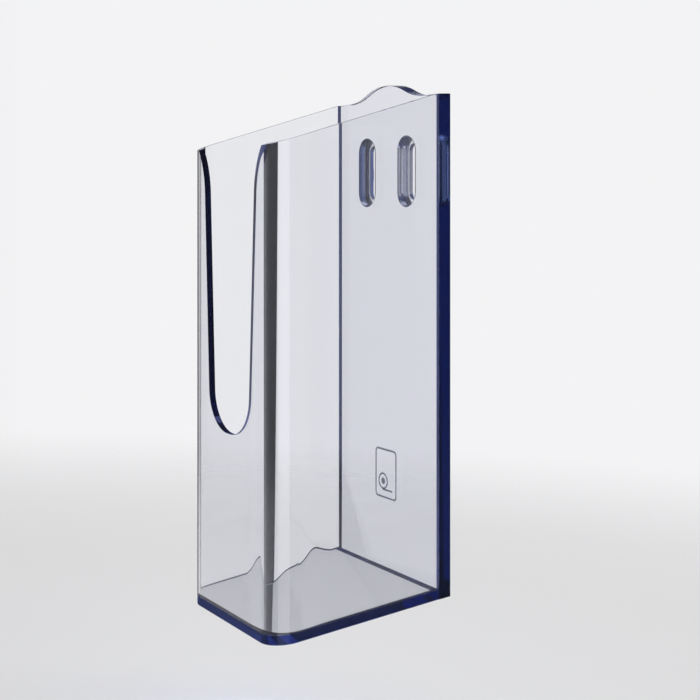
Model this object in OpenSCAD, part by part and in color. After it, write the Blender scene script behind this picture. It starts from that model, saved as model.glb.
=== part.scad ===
// Wall-hung cling film dispenser in clear acrylic: an open-topped box with a raked
// top and floor, a tall hand opening in the front and two hanging slots.
//
// Frame: +Z up, +Y towards the wall, +X to the right of someone facing the wall.
// The origin is on the wall face, midway between the two hanging slots.

/* [Box] */
// Outside width of the box
body_w = 120; // [100:1:180]
// Depth from the wall to the front face
body_d = 108; // [80:1:160]
// Upright height of the front wall, measured on its outside from rake to rake
front_h = 307; // [280:1:360]
// Slope of the top edges and of the floor, falling towards the front
rake = 17; // [0:0.5:20]
// Outside radius of the two bent front corners
corner_r = 16; // [10:0.5:24]

/* [Sheet thicknesses] */
// Bent sheet that makes the front and both sides
wrap_t = 4; // [3:0.5:6]
// Plate that closes the bottom
base_t = 6; // [4:0.5:8]
// Plate that lies against the wall
back_t = 7.2; // [6:0.1:10]

/* [Front opening] */
// Height of the wall left below the opening, on the outside of the front
sill_h = 122.5; // [80:0.5:140]
// Half width of the opening where its straight sides begin
sill_half_w = 28.8; // [27:0.1:33]
// Radius of the two lower corners
sill_r = 27; // [10:1:27]
// How far each straight side leans outwards
side_lean = 2.9; // [0:0.1:3]
// Height above the sill at which the sides start to flare
flare_start = 156; // [100:1:160]
// Radius of the flare
flare_r = 55; // [55:1:120]

/* [Back plate] */
// Height of the wave in the middle of the top edge
wave_h = 9.3; // [4:0.1:14]
// Half of the wave's length
wave_half_w = 45; // [35:1:48]
// Distance from the top edge down to the middle of the hanging slots
slot_drop = 46.45; // [40:0.05:60]
// Distance between the two hanging slots
slot_spacing = 46; // [36:0.5:56]
// Width of the slot that the screw shank passes through
slot_w = 9.6; // [6:0.1:10]
// Length of that slot, end to end
slot_len = 35.2; // [28:0.1:40]
// Radius of the dished recess round each slot, which takes the screw head
dish_r = 4.9; // [3:0.1:5]

/* [Printed mark] */
// Height of the middle of the mark above the floor, at the back
mark_rise = 60; // [50:1:100]
// Width of the frame
mark_w = 24.5; // [20:0.5:36]
// Height of the frame
mark_h = 32; // [24:0.5:40]
// Outside radius of the frame's corners
mark_r = 3; // [2.5:0.5:5]
// Width of the printed lines
mark_line = 1.2; // [0.8:0.1:2]
// Thickness of the ink
ink_t = 0.1; // [0.1:0.05:0.2]

/* [Hidden] */
$fn = 96;
arc_steps = 24;
eps = 0.5;
far = 2 * front_h;

half_w = body_w / 2;
wrap_d = body_d - back_t;
top_at_back = slot_drop;
rise = wrap_d * tan(rake);
front_top = top_at_back - rise;
front_bottom = front_top - front_h;
base_t_upright = base_t / cos(rake);
sill_z = front_bottom + sill_h;
floor_at_back = front_bottom + base_t_upright + rise;
mark_z = floor_at_back + mark_rise;
roll_r = 0.22 * mark_w;
core_r = 0.4 * roll_r;
roll_c = [-0.13 * mark_w, -0.16 * mark_h];
film_len = 0.46 * mark_w;

acrylic = [0.78, 0.84, 0.95, 0.35];
ink = [0.62, 0.62, 0.76];

// Points along an arc from angle a0 to angle a1
function arc(centre, r, a0, a1) = [
    for (i = [0 : arc_steps])
        let (a = a0 + (a1 - a0) * i / arc_steps)
            centre + r * [cos(a), sin(a)]
];

// The same points on the other side of the Z axis, in reverse order
function mirrored(points) = [
    for (i = [len(points) - 1 : -1 : 0])
        [-points[i].x, points[i].y]
];

// Sets a shape drawn in the X-Z plane upright, running from y0 to y1
module upright(y0, y1) {
    translate([0, y1, 0])
        rotate([90, 0, 0])
            linear_extrude(y1 - y0)
                children();
}

// The space between two raked planes, whose heights are given at the front face
module raked_band(z_low, z_high) {
    run = body_d + 2 * eps;
    climb = run * tan(rake);
    translate([-half_w - eps, -body_d - eps, -eps * tan(rake)])
        rotate([90, 0, 90])
            linear_extrude(body_w + 2 * eps)
                polygon([
                    [0, z_low],
                    [run, z_low + climb],
                    [run, z_high + climb],
                    [0, z_high]
                ]);
}

// Right half of the wave, as two tangent arcs from its peak to its foot
function wave_half() =
    let (
        r = (wave_half_w ^ 2 + wave_h ^ 2) / (4 * wave_h),
        swing = asin(wave_half_w / (2 * r))
    )
    concat(
        arc([0, top_at_back + wave_h - r], r, 90, 90 - swing),
        arc([wave_half_w, top_at_back + r], r, 270 - swing, 270)
    );

module back_outline() {
    polygon(concat(
        mirrored(wave_half()),
        wave_half(),
        [
            [half_w, top_at_back],
            [half_w, -far],
            [-half_w, -far],
            [-half_w, top_at_back]
        ]
    ));
}

// Half of the slot's section, from its middle line outwards and from the wall forwards
function slot_section() =
    concat(
        [[0, back_t + eps], [0, -eps], [slot_w / 2, -eps]],
        arc([slot_w / 2, back_t], dish_r, 270, 360),
        [[slot_w / 2 + dish_r, back_t + eps]]
    );

// Oblong hole, straight through at the wall, with a dished recess round it in front
module hanging_slot() {
    reach = (slot_len - slot_w) / 2;
    for (end = [-1, 1])
        translate([0, 0, end * reach])
            rotate([90, 0, 0])
                rotate_extrude()
                    polygon(slot_section());
    translate([0, 0, -reach])
        linear_extrude(2 * reach)
            for (side = [0, 1])
                mirror([side, 0])
                    mirror([0, 1])
                        polygon(slot_section());
}

// Right half of the front opening, from the middle of the sill to just above the top
function opening_half() =
    let (
        lean = side_lean,
        corner = [sill_half_w - sill_r, sill_z + sill_r],
        bend = [
            corner.x + sill_r / cos(lean) + (flare_start - sill_r) * tan(lean),
            sill_z + flare_start
        ],
        flare_c = bend + flare_r * [cos(lean), -sin(lean)],
        end = asin(min(1, (front_top + eps - flare_c.y) / flare_r))
    )
    concat(
        arc(corner, sill_r, 270, 360 - lean),
        arc(flare_c, flare_r, 180 - lean, 180 - end)
    );

module front_opening() {
    upright(-body_d - eps, -body_d + corner_r)
        polygon(concat(mirrored(opening_half()), opening_half()));
}

// Plan of the bent sheet: open at the back, rounded at both front corners
module bent_plan(inset) {
    r = corner_r - inset;
    side = half_w - inset;
    front = -body_d + inset;
    difference() {
        translate([-side, front])
            square([2 * side, wrap_d - inset]);
        for (x = [-1, 1])
            translate([x * side, front])
                square(2 * r, center = true);
    }
    for (x = [-1, 1])
        translate([x * (side - r), front + r])
            circle(r);
}

// Back plate: full height, resting on the wall, with its lower end cut to the rake
module back_plate() {
    color(acrylic)
        difference() {
            intersection() {
                upright(-back_t, 0)
                    back_outline();
                raked_band(front_bottom, far);
            }
            for (x = [-1, 1])
                translate([x * slot_spacing / 2, 0, 0])
                    hanging_slot();
        }
}

// Front and both sides: one sheet bent round the two front corners
module front_wrap() {
    color(acrylic)
        difference() {
            intersection() {
                translate([0, 0, -far])
                    linear_extrude(2 * far)
                        difference() {
                            bent_plan(0);
                            bent_plan(wrap_t);
                            translate([-half_w + wrap_t, -back_t - corner_r])
                                square([body_w - 2 * wrap_t, 2 * corner_r]);
                        }
                raked_band(front_bottom + base_t_upright, front_top);
            }
            front_opening();
        }
}

// Base plate: cut to the outside of the bent sheet, square to the rake
module base_plate() {
    color(acrylic)
        intersection() {
            translate([0, 0, -far])
                linear_extrude(2 * far)
                    bent_plan(0);
            raked_band(front_bottom, front_bottom + base_t_upright);
        }
}

// Rectangle with rounded corners, centred
module rounded(w, h, r) {
    corner = [w / 2 - r, h / 2 - r];
    polygon(concat(
        arc(corner, r, 0, 90),
        arc([-corner.x, corner.y], r, 90, 180),
        arc(-corner, r, 180, 270),
        arc([corner.x, -corner.y], r, 270, 360)
    ));
}

// Printed mark: a plain frame round the end view of a roll with its film drawn off
module printed_mark() {
    inner = 2 * mark_line;
    color(ink)
        translate([0, 0, mark_z])
            upright(-back_t - ink_t, -back_t) {
                difference() {
                    rounded(mark_w, mark_h, mark_r);
                    rounded(mark_w - inner, mark_h - inner, mark_r - mark_line);
                }
                translate(roll_c) {
                    difference() {
                        circle(roll_r);
                        circle(roll_r - mark_line);
                    }
                    circle(core_r);
                    translate([-mark_line / 2, -roll_r - mark_line / 2])
                        square([film_len, mark_line]);
                }
            }
}

back_plate();
front_wrap();
base_plate();
printed_mark();
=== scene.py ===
import math

import bmesh
import bpy
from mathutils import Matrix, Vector


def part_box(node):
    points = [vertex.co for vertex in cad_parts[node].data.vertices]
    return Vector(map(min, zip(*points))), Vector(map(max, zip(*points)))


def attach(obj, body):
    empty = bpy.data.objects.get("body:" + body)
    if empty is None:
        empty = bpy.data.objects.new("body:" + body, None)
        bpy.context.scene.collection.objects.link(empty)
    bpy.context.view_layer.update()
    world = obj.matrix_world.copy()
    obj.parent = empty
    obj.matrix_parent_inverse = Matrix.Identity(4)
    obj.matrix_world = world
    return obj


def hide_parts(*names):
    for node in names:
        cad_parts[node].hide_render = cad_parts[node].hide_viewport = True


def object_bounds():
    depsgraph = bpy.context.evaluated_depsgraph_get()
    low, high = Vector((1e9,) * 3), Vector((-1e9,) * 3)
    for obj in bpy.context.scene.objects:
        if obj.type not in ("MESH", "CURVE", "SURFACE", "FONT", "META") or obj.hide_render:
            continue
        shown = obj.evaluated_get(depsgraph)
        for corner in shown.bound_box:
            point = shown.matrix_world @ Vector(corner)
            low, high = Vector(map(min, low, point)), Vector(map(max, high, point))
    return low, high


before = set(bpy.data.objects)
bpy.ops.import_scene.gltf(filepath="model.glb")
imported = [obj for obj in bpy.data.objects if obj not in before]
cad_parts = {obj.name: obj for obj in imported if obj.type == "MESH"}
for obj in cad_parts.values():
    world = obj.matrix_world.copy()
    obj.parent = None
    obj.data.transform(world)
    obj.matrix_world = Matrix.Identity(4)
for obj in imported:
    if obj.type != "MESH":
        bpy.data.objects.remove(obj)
cad_low, cad_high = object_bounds()

# Shapes are worked out in millimetres and scaled when a mesh is finished.
MM = 0.001
NEAR = 1e-3  # points closer than this are taken as one
SEAM = 0.03  # air left in a cemented joint, which is what makes it show

BODY = "root"
RAKE = math.tan(math.radians(17))
CORNER_R = 16
BEND = CORNER_R * math.pi / 2  # length of the outside round a corner
WRAP_T = 4

# Segments in a bend, in the sheet on either side of it, and in any other arc
BEND_STEPS = 48
FLOW_STEPS = 32
ARC_STEPS = 32

EDGE_ROUND = 0.5
SHARP = math.radians(30)  # an edge that turns further than this isn't smoothed over
TOP_EDGE = 0.35  # how far the top edges still look saw-cut


def in_mm(node):
    """Lowest and highest corners of a CAD node, in millimetres."""
    low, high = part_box(node)
    return low / MM, high / MM


wrap_low, wrap_high = in_mm("front_wrap")
base_low, base_high = in_mm("base_plate")
back_low, back_high = in_mm("back_plate")
mark_low, mark_high = in_mm("printed_mark")

HALF_W = wrap_high.x
FLAT = HALF_W - CORNER_R  # where the bends begin
FRONT = wrap_low.y
JOIN = back_low.y  # where the back plate begins
WALL = back_high.y
RISE = RAKE * (JOIN - FRONT)
TOP = wrap_high.z
# Heights at the front face: top of the wall, underside and upper side of the base plate
HEAD = TOP - RISE
FOOT = base_low.z
DECK = base_high.z - RISE


def raked(height_at_front, y):
    """Height at depth y of a raked plane, from its height at the front face."""
    return height_at_front + RAKE * (y - FRONT)


def near(a, b):
    """Whether two lengths are as good as equal."""
    return abs(a - b) < NEAR


def arc(centre, radius, start, end, steps=ARC_STEPS):
    """Points along an arc, with angles in degrees."""
    points = []
    for i in range(steps + 1):
        a = math.radians(start + (end - start) * i / steps)
        points.append((centre[0] + radius * math.cos(a), centre[1] + radius * math.sin(a)))
    return points


def circle(centre, radius, steps):
    """Points round a circle."""
    return arc(centre, radius, 0, 360, steps)[:-1]


def both_sides(points):
    """The points mirrored to -x, in reverse, and then the points themselves."""
    return [(-x, z) for x, z in reversed(points) if not near(x, 0)] + points


# ---------------------------------------------------------------- mesh helpers


class Solid:
    """A mesh being built: its faces say how they were cut, and its rounded edges are chosen."""

    def __init__(self):
        self.bm = bmesh.new()
        self.weight = self.bm.edges.layers.float.new("bevel_weight_edge")
        self.cut = self.bm.faces.layers.float.new("cut")
        self.milled = self.bm.faces.layers.float.new("milled")

    def ring(self, points):
        return [self.bm.verts.new(p) for p in points]

    def face(self, verts, cut=0.0, milled=0.0):
        face = self.bm.faces.new(verts)
        face[self.cut] = cut
        face[self.milled] = milled

    def strip(self, ring_a, ring_b, cut=0.0, milled=0.0):
        """Quads from one ring of vertices to the next."""
        count = len(ring_a)
        for i in range(count):
            j = (i + 1) % count
            self.face([ring_a[i], ring_a[j], ring_b[j], ring_b[i]], cut, milled)

    def soften(self, a, b, weight=1.0):
        """Rounds the edge between two vertices."""
        self.bm.edges.get((a, b))[self.weight] = weight

    def soften_ring(self, ring, weight=1.0, skip=()):
        for i, vert in enumerate(ring):
            if i not in skip:
                self.soften(vert, ring[(i + 1) % len(ring)], weight)

    def build(self, name, node, material, radius=EDGE_ROUND):
        """Turns the mesh into the piece that stands for a CAD node."""
        bmesh.ops.recalc_face_normals(self.bm, faces=self.bm.faces)
        for edge in self.bm.edges:
            if edge[self.weight] == 0 and edge.calc_face_angle() > SHARP:
                edge.smooth = False
        bmesh.ops.scale(self.bm, vec=(MM, MM, MM), verts=self.bm.verts)
        piece = linked(name, self.bm, material)
        piece.data.polygons.foreach_set("use_smooth", [True] * len(piece.data.polygons))
        bevel = piece.modifiers.new("polished_edges", "BEVEL")
        bevel.limit_method = "WEIGHT"
        bevel.width = radius * MM
        bevel.segments = 3
        normals = piece.modifiers.new("true_flats", "WEIGHTED_NORMAL")
        normals.keep_sharp = True
        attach(piece, BODY)
        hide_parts(node)
        return piece


def linked(name, bm, material):
    """Turns a finished bmesh into an object in the scene."""
    mesh = bpy.data.meshes.new(name)
    bm.to_mesh(mesh)
    bm.free()
    mesh.materials.append(material)
    piece = bpy.data.objects.new(name, mesh)
    bpy.context.scene.collection.objects.link(piece)
    return piece


# ---------------------------------------------------------------- node helpers


class Nodes:
    """Adds shader nodes: a plain value sets an input and a socket is linked to it."""

    def __init__(self, tree):
        self.tree = tree
        tree.nodes.clear()

    def add(self, kind, inputs=None, out=0, **settings):
        node = self.tree.nodes.new("ShaderNode" + kind)
        for key, value in settings.items():
            setattr(node, key, value)
        for key, value in (inputs or {}).items():
            if isinstance(value, bpy.types.NodeSocket):
                self.tree.links.new(value, node.inputs[key])
            else:
                node.inputs[key].default_value = value
        return node.outputs[out] if node.outputs else node

    def math(self, operation, a, b=0.0):
        return self.add("Math", {0: a, 1: b}, operation=operation)

    def weigh(self, *terms):
        """The sum of values, each times its weight."""
        total, *rest = [self.math("MULTIPLY", value, weight) for value, weight in terms]
        for part in rest:
            total = self.math("ADD", total, part)
        return total

    def ramp(self, value, low, high, to_low=0.0, to_high=1.0):
        """A smooth step of a value between two levels."""
        return self.add("MapRange", {
            "Value": value, "From Min": low, "From Max": high,
            "To Min": to_low, "To Max": to_high,
        }, interpolation_type="SMOOTHSTEP")

    def noise(self, place, scale, detail=2.0, rough=0.5):
        return self.add("TexNoise", {
            "Vector": place, "Scale": scale, "Detail": detail, "Roughness": rough,
        })

    def stretch(self, place, factors):
        return self.add("VectorMath", {0: place, 1: factors}, operation="MULTIPLY")

    def mix(self, factor, a, b):
        """A mix of two colours."""
        return self.add("Mix", {0: factor, 6: a, 7: b}, out=2, data_type="RGBA")


def new_material(name):
    material = bpy.data.materials.new(name)
    material.use_nodes = True
    return material, Nodes(material.node_tree)


# ---------------------------------------------------------------- materials

# Share of red, green and blue that 1 mm of the sheet takes away
ABSORBED = (0.0115, 0.0105, 0.0050)
# Tints of a cut edge, where light has come a long way down the sheet
PLATE_EDGE = (0.12, 0.17, 0.36, 1)
SHEET_EDGE = (0.10, 0.12, 0.30, 1)
BASE_EDGE = (0.23, 0.30, 0.62, 1)
CLEAR = (1, 1, 1, 1)
ACRYLIC_INDEX = 1.49

# Marks in the surface, as features per metre along x, y and z
DRAW_LINES = (60, 60, 7)
SCRATCHES = (900, 900, 40)
LEVEL_SAW_LINES = (30, 30, 900)
UPRIGHT_SAW_LINES = (500, 500, 30)
# Their heights, as shares of the relief
RELIEF = 0.0004  # m
DRAW_HEIGHT, SCRATCH_HEIGHT, SAW_HEIGHT = 0.10, 0.02, 0.35
# The roughness that each finish adds
SCRATCH_ROUGH, CUT_ROUGH, MILLED_ROUGH = 0.03, 0.045, 0.25
# The share of light that a wiped face scatters, and what a speck of dust adds
HAZE, DUST_HAZE = 0.010, 0.02


def acrylic(name, saw_lines, edge):
    """Clear cast acrylic: faint blue in its depth, bright faces, polished saw-cut edges."""
    material, n = new_material(name)
    place = n.add("TexCoord", out="Object")
    cut = n.add("Attribute", out="Fac", attribute_name="cut")
    milled = n.add("Attribute", out="Fac", attribute_name="milled")

    # Long faint draw lines in the sheet, hair scratches from use, saw lines on the cut edges
    swell = n.noise(n.stretch(place, DRAW_LINES), 1.0, 1.0)
    scratch = n.ramp(n.noise(n.stretch(place, SCRATCHES), 1.0, 1.0), 0.70, 0.78)
    saw = n.math("MULTIPLY", n.noise(n.stretch(place, saw_lines), 1.0, 2.0), cut)
    height = n.weigh((swell, DRAW_HEIGHT), (scratch, SCRATCH_HEIGHT), (saw, SAW_HEIGHT))
    bump = n.add("Bump", {"Strength": 0.10, "Distance": RELIEF, "Height": height})
    rough = n.weigh((scratch, SCRATCH_ROUGH), (cut, CUT_ROUGH), (milled, MILLED_ROUGH))
    glass = n.add("BsdfGlass", {
        "Color": n.mix(cut, CLEAR, edge), "Roughness": rough, "IOR": ACRYLIC_INDEX,
        "Normal": bump,
    })

    # A thin bloom of dust keeps a flat face from vanishing
    dust = n.ramp(n.noise(place, 340.0, 3.0, 0.7), 0.62, 0.80)
    haze = n.math("ADD", n.math("MULTIPLY", dust, DUST_HAZE), HAZE)
    bloom = n.add("BsdfDiffuse", {"Color": (0.86, 0.87, 0.95, 1)})
    body = n.add("MixShader", {0: haze, 1: glass, 2: bloom})

    # Lamps shine through it
    lamp = n.add("LightPath", out="Is Shadow Ray")
    through = n.add("BsdfTransparent", {"Color": (0.93, 0.94, 0.98, 1)})
    surface = n.add("MixShader", {0: lamp, 1: body, 2: through})

    density = max(ABSORBED) / MM
    colour = [1 - share / MM / density for share in ABSORBED] + [1]
    depth = n.add("VolumeAbsorption", {"Color": colour, "Density": density})
    n.add("OutputMaterial", {"Surface": surface, "Volume": depth})
    return material


# The two shades that the ink's patches lie between
INK_SHADES = ((0.36, 0.355, 0.45, 1), (0.47, 0.46, 0.56, 1))
INK_PATCHES = 260.0  # patches per metre
SCREEN_WEAVE = 900.0  # scale of the two waves that cross in it
INK_RELIEF = 0.00005  # m


def screen_ink(name):
    """Matt violet-grey screen ink, a little uneven, with the weave of the screen in it."""
    material, n = new_material(name)
    place = n.add("TexCoord", out="Object")
    patch = n.noise(place, INK_PATCHES, 3.0)
    threads = [n.add("TexWave", {"Vector": place, "Scale": SCREEN_WEAVE}, bands_direction=way)
               for way in "XZ"]
    height = n.math("ADD", n.math("MULTIPLY", n.math("MULTIPLY", *threads), 0.4), patch)
    bump = n.add("Bump", {"Strength": 0.3, "Distance": INK_RELIEF, "Height": height})
    surface = n.add("BsdfPrincipled", {
        "Base Color": n.mix(n.ramp(patch, 0.35, 0.70), *INK_SHADES),
        "Roughness": n.ramp(patch, 0.3, 0.8, 0.45, 0.7), "Normal": bump,
    })
    n.add("OutputMaterial", {"Surface": surface})
    return material


# ---------------------------------------------------------------- bent sheet

SILL_H = 122.5
SILL_HALF_W = 28.8
SILL_R = 27
SIDE_LEAN = 2.9
FLARE_START = 156
FLARE_R = 55


def opening():
    """Right half of the front opening as (x, z), from the middle of the sill to the top."""
    lean = math.radians(SIDE_LEAN)
    sill_z = FOOT + SILL_H
    corner = (SILL_HALF_W - SILL_R, sill_z + SILL_R)
    bend_x = corner[0] + SILL_R / math.cos(lean) + (FLARE_START - SILL_R) * math.tan(lean)
    centre = (bend_x + FLARE_R * math.cos(lean),
              sill_z + FLARE_START - FLARE_R * math.sin(lean))
    end = math.degrees(math.asin((HEAD - centre[1]) / FLARE_R))
    return (arc(corner, SILL_R, 270, 360 - SIDE_LEAN)
            + arc(centre, FLARE_R, 180 - SIDE_LEAN, 180 - end))


# Where each heated bend has gathered and stretched the sheet: place, change and spread
RIGHT_FLOW = ((45.7, 1.38, 10.5), (54.2, 0.70, 9.0), (74.3, -1.06, 7.8))
LEFT_FLOW = ((56.0, -0.80, 8.0),)
FLOW_REACH = 20  # how far to either side of a bend the sheet is uneven


def thickness(s):
    """Thickness of the sheet at s along it from mid-front."""
    return WRAP_T + sum(change * math.exp(-((abs(s) - place) / spread) ** 2)
                        for place, change, spread in (RIGHT_FLOW if s > 0 else LEFT_FLOW))


def on_sheet(s, depth):
    """Plan position, below the outside by a depth, at s along it from mid-front."""
    reach = abs(s)
    turn = min(max((reach - FLAT) / CORNER_R, 0), math.pi / 2)
    run = max(reach - FLAT - BEND, 0)
    r = CORNER_R - depth
    x = min(reach, FLAT) + r * math.sin(turn)
    return math.copysign(x, s), FRONT + CORNER_R - r * math.cos(turn) + run


def flatten(x, z):
    """Where a point on the outside of the front lies in the flat pattern."""
    turn = math.asin(max(abs(x) - FLAT, 0) / CORNER_R)
    s = math.copysign(min(abs(x), FLAT) + CORNER_R * turn, x)
    return s, z - RAKE * CORNER_R * (1 - math.cos(turn))


def sheet_pattern(end, low, high):
    """The sheet laid out flat, scored into columns wherever it bends or is uneven."""
    cut_out = [flatten(x, z) for x, z in both_sides(opening())]
    lips = (cut_out[0][0], cut_out[-1][0])
    cut_out[0] = (lips[0], high)
    cut_out[-1] = (lips[1], high)
    outline = [(-end, low), (end, low), (end, high)] + cut_out[::-1] + [(-end, high)]

    flat = bmesh.new()
    flat.faces.new([flat.verts.new((s, t, 0)) for s, t in outline])
    columns = [FLAT + BEND * i / BEND_STEPS for i in range(BEND_STEPS + 1)]
    for i in range(1, FLOW_STEPS + 1):
        reach = FLOW_REACH * i / FLOW_STEPS
        columns += [FLAT - reach, FLAT + BEND + reach]
    for s in columns + [-s for s in columns]:
        bmesh.ops.bisect_plane(
            flat, geom=flat.verts[:] + flat.edges[:] + flat.faces[:], dist=NEAR / 10,
            plane_co=(s, 0, 0), plane_no=(1, 0, 0))
    return flat, lips


def front_wrap(material):
    """One sheet bent round the front corners, laid out flat and then wrapped."""
    end = FLAT + BEND + JOIN - SEAM - FRONT - CORNER_R
    low, high = DECK + SEAM, HEAD
    flat, lips = sheet_pattern(end, low, high)

    # The top and bottom edges lie in the rake, and the opening is cut level through the sheet
    solid = Solid()
    outer, inner = {}, {}
    for vert in flat.verts:
        s, t = vert.co.x, vert.co.y
        in_rake = near(t, low) or near(t, high)
        for skin, depth in ((outer, 0), (inner, thickness(s))):
            x, y = on_sheet(s, depth)
            z = raked(t, y if in_rake else on_sheet(s, 0)[1])
            skin[vert] = solid.bm.verts.new((x, y, z))

    for face in flat.faces:
        solid.face([outer[v] for v in face.verts])
        solid.face([inner[v] for v in reversed(face.verts)])
    for edge in flat.edges:
        if len(edge.link_faces) != 1:
            continue
        a, b = edge.verts
        at_base = near(a.co.y, low) and near(b.co.y, low)
        at_back = near(abs(a.co.x), end) and near(abs(b.co.x), end)
        on_top = near(a.co.y, high) and near(b.co.y, high)
        solid.face([outer[a], outer[b], inner[b], inner[a]], TOP_EDGE if on_top else 1.0)
        if not (at_base or at_back):
            solid.soften(outer[a], outer[b])
            solid.soften(inner[a], inner[b])
    for vert in flat.verts:
        if near(vert.co.y, high) and any(near(vert.co.x, lip) for lip in lips):
            solid.soften(outer[vert], inner[vert])
    flat.free()
    return solid.build("front_wrap_acrylic", "front_wrap", material)


# ---------------------------------------------------------------- base plate


def base_plate(material):
    """Flat plate under the bent sheet, cut to its outline and set to the rake."""
    corner = (FLAT, FRONT + CORNER_R)
    right = arc(corner, CORNER_R, 270, 360, BEND_STEPS) + [(HALF_W, JOIN - SEAM)]
    outline = [(-x, y) for x, y in reversed(right)] + right
    solid = Solid()
    under = solid.ring([(x, y, raked(FOOT, y)) for x, y in outline])
    deck = solid.ring([(x, y, raked(DECK, y)) for x, y in outline])
    solid.face(under)
    solid.face(deck[::-1])
    solid.strip(under, deck, cut=1.0)
    joint = len(under) - 1
    solid.soften_ring(under, skip=(joint,))
    return solid.build("base_plate_acrylic", "base_plate", material)


# ---------------------------------------------------------------- back plate

WAVE_HALF_W = 45
SLOT_X = 23
SLOT_HALF_W = 4.8
SLOT_REACH = 12.8  # from the middle of a slot to the centre of either round end
DISH_R = 4.9
DISH_STEPS = 16
SLOT_STEPS = 32
DISH_RIM, SLOT_RIM = 0.5, 0.6  # how far their edges are rounded, as shares of EDGE_ROUND


def wave():
    """Right half of the top edge as (x, z), from its peak to the side of the plate."""
    h = back_high.z - TOP
    r = (WAVE_HALF_W ** 2 + h ** 2) / (4 * h)
    swing = math.degrees(math.asin(WAVE_HALF_W / (2 * r)))
    peak = arc((0, TOP + h - r), r, 90, 90 - swing)
    foot = arc((WAVE_HALF_W, TOP + r), r, 270 - swing, 270)
    return peak + foot[1:] + [(HALF_W, TOP)]


def oblong(x, half_w):
    """Outline of a hanging slot, anticlockwise from its right side."""
    return (arc((x, SLOT_REACH), half_w, 0, 180, SLOT_STEPS)
            + arc((x, -SLOT_REACH), half_w, 180, 360, SLOT_STEPS))


def hanging_slot(solid, x):
    """Rings of vertices down a slot, from the rim of its dish to the wall."""
    section = arc((SLOT_HALF_W, JOIN), DISH_R, 0, 90, DISH_STEPS) + [(SLOT_HALF_W, WALL)]
    rings = [solid.ring([(px, y, pz) for px, pz in oblong(x, half_w)])
             for half_w, y in section]
    for first, second in zip(rings, rings[1:]):
        solid.strip(first, second, milled=1.0)
    return rings


def back_plate(material):
    """Wall plate with a wave on its top edge and two dished hanging slots."""
    top = both_sides(wave())
    foot = (HALF_W, SLOT_X, -SLOT_X, -HALF_W)
    solid = Solid()
    faces = {}
    for y in (JOIN, WALL):
        faces[y] = solid.ring([(x, y, z) for x, z in top] + [(x, y, raked(FOOT, y)) for x in foot])
    solid.strip(faces[JOIN], faces[WALL], cut=1.0)
    for face in solid.bm.faces:
        if min(vert.co.z for vert in face.verts) > TOP - NEAR:
            face[solid.cut] = TOP_EDGE
    slots = [hanging_slot(solid, x) for x in (-SLOT_X, SLOT_X)]

    # Each broad face is three panels that meet above and below the slots
    over_l, over_r = (min(range(len(top)), key=lambda i: abs(top[i][0] - x))
                      for x in (-SLOT_X, SLOT_X))
    under_r, under_l = len(top) + 1, len(top) + 2
    peak, dip = SLOT_STEPS // 2, SLOT_STEPS + 1 + SLOT_STEPS // 2
    for y, end in ((JOIN, 0), (WALL, -1)):
        rim, left, right = faces[y], slots[0][end], slots[1][end]
        solid.face(rim[:over_l + 1] + left[peak:dip + 1] + rim[under_l:])
        solid.face(rim[over_l:over_r + 1] + right[peak:dip + 1] + [rim[under_r], rim[under_l]]
                   + left[dip:] + left[:peak + 1])
        solid.face(rim[over_r:under_r + 1] + right[dip:] + right[:peak + 1])
        solid.soften_ring(rim)
    for rings in slots:
        solid.soften_ring(rings[0], DISH_RIM)
        solid.soften_ring(rings[-2], SLOT_RIM)
        solid.soften_ring(rings[-1], SLOT_RIM)
    return solid.build("back_plate_acrylic", "back_plate", material)


# ---------------------------------------------------------------- printed mark

MARK_R = 3
LINE = 1.2
ROLL_R = 0.22  # of the frame's width
ROLL_X, ROLL_Z = -0.13, -0.16  # of the frame's width and height, from its middle
CORE_R = 0.4  # of the roll's radius
FILM_LENGTH = 0.46  # of the frame's width
INK_ROUND = 0.02


def printed_mark(material):
    """A plain frame round the end view of a roll with its film drawn off."""
    middle = (mark_low + mark_high) / 2
    width, height = mark_high.x - mark_low.x, mark_high.z - mark_low.z
    face, sunk = mark_low.y, JOIN - SEAM
    solid = Solid()

    def layer(points):
        return [solid.ring([(middle.x + x, y, middle.z + z) for x, z in points])
                for y in (face, sunk)]

    def band(outside, inside):
        (a, b), (c, d) = layer(outside), layer(inside)
        for first, second in ((a, c), (b, d), (a, b), (c, d)):
            solid.strip(first, second)

    def patch(points):
        a, b = layer(points)
        solid.face(a)
        solid.face(b[::-1])
        solid.strip(a, b)

    def frame_line(inset):
        x, z = width / 2 - MARK_R, height / 2 - MARK_R
        corners = ((x, z), (-x, z), (-x, -z), (x, -z))
        return [point for i, corner in enumerate(corners)
                for point in arc(corner, MARK_R - inset, 90 * i, 90 * (i + 1), 8)]

    band(frame_line(0), frame_line(LINE))
    roll, roll_r = (ROLL_X * width, ROLL_Z * height), ROLL_R * width
    band(circle(roll, roll_r, 64), circle(roll, roll_r - LINE, 64))
    patch(circle(roll, CORE_R * roll_r, 32))
    left, under = roll[0] - LINE / 2, roll[1] - roll_r - LINE / 2
    right, over = left + FILM_LENGTH * width, under + LINE
    patch([(left, under), (right, under), (right, over), (left, over)])
    return solid.build("printed_mark_ink", "printed_mark", material, INK_ROUND)


# ---------------------------------------------------------------- the dispenser

back = back_plate(acrylic("acrylic_plate", LEVEL_SAW_LINES, PLATE_EDGE))
wrap = front_wrap(acrylic("acrylic_sheet", LEVEL_SAW_LINES, SHEET_EDGE))
base = base_plate(acrylic("acrylic_base", UPRIGHT_SAW_LINES, BASE_EDGE))
mark = printed_mark(screen_ink("print_ink"))

# ---------------------------------------------------------------- studio, in metres

FLOOR_Z = cad_low.z - 0.07
POOL_R, FADE_R = 0.45, 1.5
FLOOR_STEPS = 96


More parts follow.
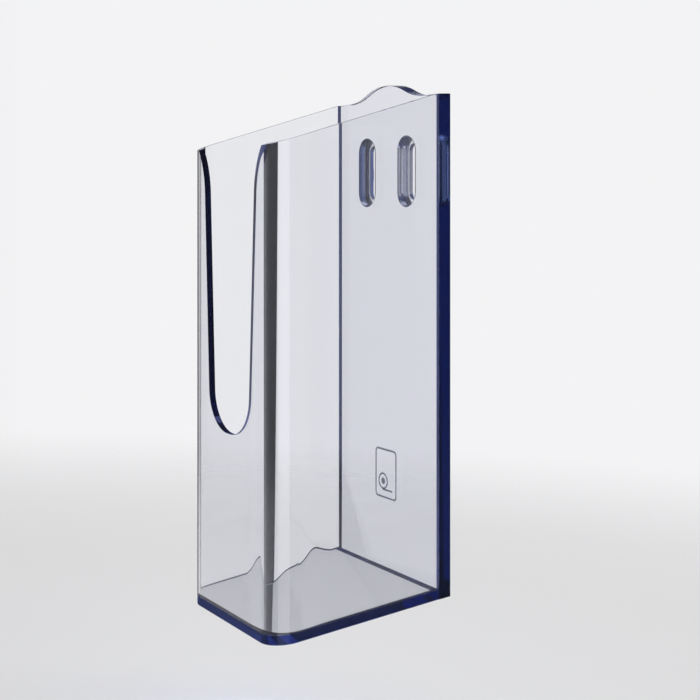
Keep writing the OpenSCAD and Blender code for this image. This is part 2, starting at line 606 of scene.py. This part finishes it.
def studio_floor():
    """Pale floor, a pool of light that fades into the backdrop."""
    bm = bmesh.new()
    pool, edge = [[bm.verts.new((x, y, FLOOR_Z)) for x, y in circle((0, 0), r, FLOOR_STEPS)]
                  for r in (POOL_R, FADE_R)]
    bm.faces.new(pool)
    for i in range(FLOOR_STEPS):
        j = (i + 1) % FLOOR_STEPS
        bm.faces.new([pool[i], edge[i], edge[j], pool[j]])

    material, n = new_material("pale_floor")
    place = n.add("TexCoord", out="Object")
    away = n.add("VectorMath", {0: n.stretch(place, (1, 1, 0))}, out="Value",
                 operation="LENGTH")
    colour = n.mix(n.noise(place, 3.0, 3.0), (0.80, 0.80, 0.81, 1), (0.83, 0.83, 0.835, 1))
    board = n.add("BsdfDiffuse", {"Color": colour})
    fade = n.ramp(away, POOL_R, FADE_R - 0.1)
    surface = n.add("MixShader", {0: fade, 1: board, 2: n.add("BsdfTransparent")})
    n.add("OutputMaterial", {"Surface": surface})
    linked("studio_floor", bm, material)


# Backdrop glow: heading in degrees from +x, half width, softness, strength
GLOWS = (
    (150, 12, 13, 0.85),
    (-150, 14, 18, 0.45),
    (90, 6, 20, 0.03),
    (0, 15, 35, 0.25),
    (-60, 15, 35, 0.30),
)
GLOW_TOP = (8, 30)  # the glow fades out between these elevations, in degrees
GLOW_BLUE = 1.015  # blue, as a share of the red and green
GLOOM = 0.045  # strength with no glow at all


def studio_backdrop():
    """Grey surround that glows at the horizon, brightest behind the object."""
    world = bpy.data.worlds.new("studio")
    bpy.context.scene.world = world
    world.use_nodes = True
    n = Nodes(world.node_tree)
    way = n.add("TexCoord", out="Generated")
    level_way = n.add("VectorMath", {0: n.stretch(way, (1, 1, 0))}, operation="NORMALIZE")
    height = n.add("SeparateXYZ", {0: way}, out="Z")
    fade_from, fade_to = (math.sin(math.radians(elevation)) for elevation in GLOW_TOP)
    ceiling = n.ramp(height, fade_from, fade_to, 1.0, 0.0)
    total = GLOOM
    for heading, half, soft, strength in GLOWS:
        a = math.radians(heading)
        facing = n.add("VectorMath", {0: level_way, 1: (math.cos(a), math.sin(a), 0)},
                       out="Value", operation="DOT_PRODUCT")
        glow = n.ramp(facing, math.cos(math.radians(half + soft)),
                      math.cos(math.radians(half)), 0.0, strength)
        total = n.math("ADD", total, n.math("MULTIPLY", glow, ceiling))
    blue = n.math("MULTIPLY", total, GLOW_BLUE)
    shade = n.add("CombineXYZ", {0: total, 1: total, 2: blue})
    n.add("OutputWorld", {"Surface": n.add("Background", {"Color": shade})})


def softbox(name, place, aim, size, power, lit):
    """A rectangular lamp that acts only on the kinds of ray in lit."""
    light = bpy.data.lights.new(name, "AREA")
    light.shape = "RECTANGLE"
    light.size, light.size_y = size
    light.energy = power
    lamp = bpy.data.objects.new(name, light)
    lamp.location = place
    lamp.rotation_mode = "QUATERNION"
    lamp.rotation_quaternion = (Vector(aim) - Vector(place)).to_track_quat("-Z", "Y")
    for kind in ("camera", "diffuse", "glossy", "transmission"):
        setattr(lamp, "visible_" + kind, kind in lit)
    bpy.context.scene.collection.objects.link(lamp)


def studio_light():
    """A broad overhead lamp, and a narrow one that draws the pale line down the near bend."""
    softbox("overhead", place=(-0.3, 0.2, 2.0), aim=(-0.3, 0.2, 0), size=(1.4, 1.4), power=50,
            lit=("diffuse", "glossy"))
    strip_h = 0.41
    middle = FLOOR_Z + strip_h / 2
    softbox("strip", place=(0.219, -0.218, middle), aim=(0.055, -0.103, middle),
            size=(0.18, strip_h), power=0.45, lit=("glossy",))


def photo_camera():
    """Level camera that looks along -x, with its frame shifted sideways onto the object."""
    camera = bpy.data.cameras.new("camera")
    camera.sensor_width = 36
    camera.lens = 79.03
    camera.clip_start, camera.clip_end = 0.01, 20
    eye = bpy.data.objects.new("camera", camera)
    eye.location = (0.9917, -0.5496, -0.02165)
    eye.rotation_mode = "XYZ"
    eye.rotation_euler = (math.pi / 2, 0, math.pi / 2)
    bpy.context.scene.collection.objects.link(eye)
    bpy.context.scene.camera = eye
    at_viewpoint(eye, camera, "shift_x", -1, "1.1511 * here")
    at_viewpoint(eye, camera, "shift_y", -1, "-0.2061 * here")
    return eye


def at_viewpoint(eye, owner, path, index, expression):
    """Drives a value by here: 1 while the camera keeps this viewpoint, 0 once it is aimed anew.

    It reads the camera's rotation mode. XYZ counts as 1, and aiming the camera anew sets
    QUATERNION, which counts as 0.
    """
    driver = owner.driver_add(path, index).driver
    driver.type = "SCRIPTED"
    here = driver.variables.new()
    here.name = "here"
    here.targets[0].id = eye
    here.targets[0].data_path = "rotation_mode"
    driver.expression = expression


# Near and far edge of the black card: x, its two ends in y, and z
CARD_NEAR = (-0.2, -0.12, -0.052, FLOOR_Z)
CARD_FAR = (-0.5, -0.13, 0.053, 0.12)


def black_card(eye):
    """Card out of the picture on the left, which draws the dark line down the bend."""
    bm = bmesh.new()
    (x0, a0, b0, z0), (x1, a1, b1, z1) = CARD_NEAR, CARD_FAR
    corners = ((x0, a0, z0), (x0, b0, z0), (x1, b1, z1), (x1, a1, z1))
    bm.faces.new([bm.verts.new(corner) for corner in corners])
    material, n = new_material("black_card")
    place = n.add("TexCoord", out="Object")
    colour = n.mix(n.noise(place, 60.0, 3.0), (0.010, 0.010, 0.012, 1), (0.016, 0.016, 0.018, 1))
    n.add("OutputMaterial", {"Surface": n.add("BsdfDiffuse", {"Color": colour})})
    card = linked("studio_flag", bm, material)
    card.visible_camera = False
    card.visible_diffuse = False
    card.visible_shadow = False
    # Any other viewpoint would see it, so there it sinks 5 m out of the way
    at_viewpoint(eye, card, "location", 2, "5 * (here - 1)")


studio_floor()
studio_backdrop()
studio_light()
black_card(photo_camera())

scene = bpy.context.scene
scene.view_settings.view_transform = "Standard"
# Light runs a long way down the inside of a clear sheet
scene.cycles.max_bounces = 28
scene.cycles.glossy_bounces = 24
scene.cycles.transmission_bounces = 24
